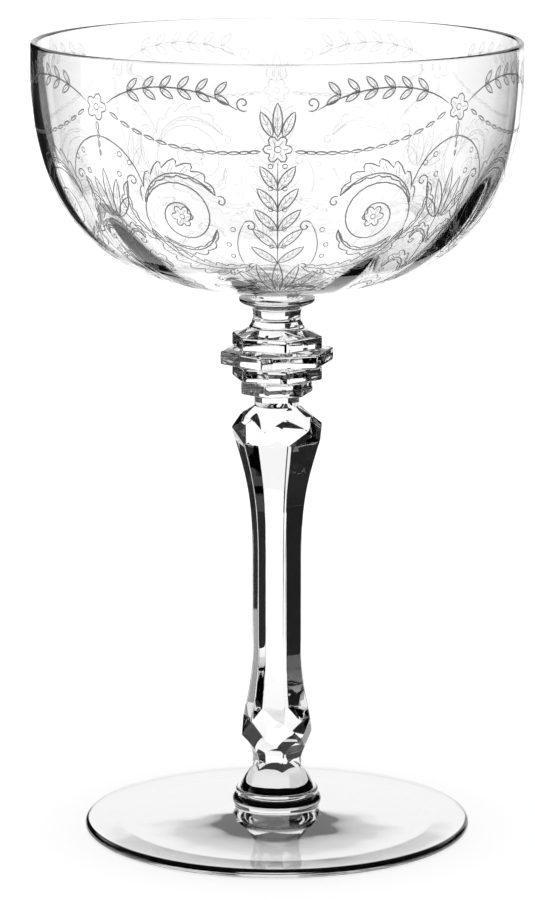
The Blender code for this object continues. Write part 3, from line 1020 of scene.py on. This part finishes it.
def card_row(card, reach, height):
    """Points across a card at one distance from the glass's axis."""
    start = math.radians(card.first) + math.asin(card.first_margin / reach)
    end = math.radians(card.last) - math.asin(card.last_margin / reach)
    turns = [start + (end - start) * i / CARD_STEPS for i in range(CARD_STEPS + 1)]
    return [turned_point(reach, turn, height) for turn in turns]


def make_card(card, material):
    """A dark sheet that lies beside the glass and may bend up at its far end, and that only glass shows: a
    painted dark reflection and refraction, since the camera, diffuse light and shadows pass it by.
    """
    rows = []
    for i in range(CARD_ROWS + 1):
        rows.append(card_row(card, card.near * (card.far / card.near) ** (i / CARD_ROWS), CARD_LIFT))
    if card.height > CARD_LIFT:
        rows.append(card_row(card, card.far, card.height))
    form = bmesh.new()
    grid = [[form.verts.new(point) for point in row] for row in rows]
    for here, there in zip(grid, grid[1:]):
        for i in range(CARD_STEPS):
            form.faces.new((here[i], here[i + 1], there[i + 1], there[i]))
    sheet = add_object(card.name, mesh_from(card.name, form))
    sheet.data.materials.append(material)
    sheet.visible_camera = False
    sheet.visible_diffuse = False
    sheet.visible_shadow = False


def make_cards():
    # Near-black sheets seen only in the glass: painted dark reflections and refractions, and a painted shade
    # under the stem
    material = principled("painted_glass_shade", PAINTED_GLASS_SHADE_COLOUR, 1.0)[0]
    for card in CARDS:
        make_card(card, material)


def make_world():
    """Studio light: a white sweep, low all round and tall behind the glass, in a dim room."""
    world = bpy.data.worlds.new("studio")
    world.use_nodes = True
    tree = world.node_tree
    direction = tree.nodes.new("ShaderNodeTexCoord")
    axes = tree.nodes.new("ShaderNodeSeparateXYZ")
    tree.links.new(direction.outputs["Generated"], axes.inputs[0])
    behind = calculate(tree, "MAXIMUM", axes.outputs["Y"], 0.0)
    above = calculate(tree, "MULTIPLY_ADD", behind, -SWEEP_BACK, axes.outputs["Z"])
    strength = between(tree, above, 1.0, CEILING_LIGHT, SWEEP_TOP, SWEEP_TOP + SWEEP_FADE)
    strength.node.interpolation_type = "SMOOTHSTEP"
    background = tree.nodes["Background"]
    background.inputs["Color"].default_value = (*WHITE, 1.0)
    tree.links.new(strength, background.inputs["Strength"])
    bpy.context.scene.world = world


def make_lamp():
    """A soft lamp high above the glass, which shows neither through the glass nor in it."""
    data = bpy.data.lights.new("top_lamp", "AREA")
    data.shape = "DISK"
    data.size = LAMP_SIZE
    data.energy = LAMP_POWER
    lamp = add_object("top_lamp", data)
    lamp.location = LAMP_PLACE
    lamp.visible_glossy = False
    lamp.visible_transmission = False


def set_light_paths():
    """Light crosses all the stacked pieces, but is lost after a few mirrorings, so side facets stay dark."""
    cycles = bpy.context.scene.cycles
    cycles.max_bounces = GLASS_BOUNCES
    cycles.transmission_bounces = GLASS_BOUNCES
    cycles.glossy_bounces = MIRROR_BOUNCES
    cycles.transparent_max_bounces = CLEAR_BOUNCES


def make_camera():
    data = bpy.data.cameras.new("photo_camera")
    data.lens = CAMERA_LENS
    data.sensor_width = CAMERA_SENSOR
    camera = add_object("photo_camera", data)
    camera.location = CAMERA_PLACE
    camera.rotation_euler = (math.pi / 2 - CAMERA_PITCH, 0.0, 0.0)
    bpy.context.scene.camera = camera


make_camera()
make_world()
make_lamp()
make_floor()
make_cards()
set_light_paths()
fused = fused_joint()
make_foot([smooth_glass("foot_glass"), fused])
make_foot_collar([pressed_glass("collar_glass"), fused])
make_stem([pressed_glass("stem_glass"), fused])
make_knop([pressed_glass("knop_glass"), fused])
make_bowl_collar([pressed_glass("wafer_glass"), fused])
make_bowl([smooth_glass("bowl_glass"), fused])
make_ornament()
bpy.context.scene.view_settings.view_transform = "Standard"
